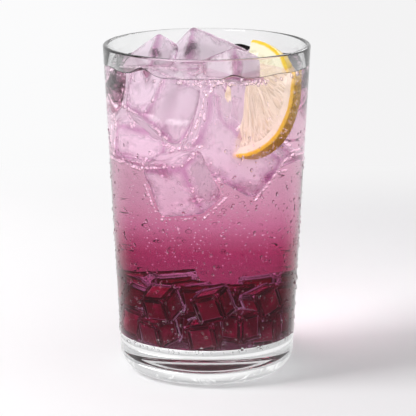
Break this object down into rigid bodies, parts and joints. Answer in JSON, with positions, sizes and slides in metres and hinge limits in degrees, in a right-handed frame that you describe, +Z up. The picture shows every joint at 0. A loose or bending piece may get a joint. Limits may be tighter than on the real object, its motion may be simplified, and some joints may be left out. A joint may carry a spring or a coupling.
{
  "type": "glass of grape jelly drink",
  "caption": "Tall thick-footed tumbler of sparkling grape drink over tumbled jelly cubes, with ice standing out of it and half a wheel of lemon against the wall.",
  "frame": {"origin": "on the glass's axis, in the plane of the ring that it stands on", "axes": "+Z up along the glass's axis, +X towards the side where the lemon leans on the wall; the lemon's cut face looks towards -Y and -X"},
  "size_m": [0.084, 0.084, 0.1397],
  "materials": {
    "glass": "clear and smooth, with cold dew outside",
    "drink": "clear sparkling grape drink, pale mauve at the top and deep magenta over the jelly",
    "jelly": "dark burgundy jelly, wet and clear at its edges",
    "lemon": "moist cut flesh, white pith and dimpled yellow peel",
    "ice": "wet clear ice with a cloudy middle"
  },
  "bodies": {
    "root": {"glass": "glass", "drink": "drink", "jelly_heap": "jelly", "lemon_slice": "lemon", "ice_left": "ice", "ice_peak": "ice", "ice_front": "ice", "ice_back": "ice"}
  },
  "joints": []
}
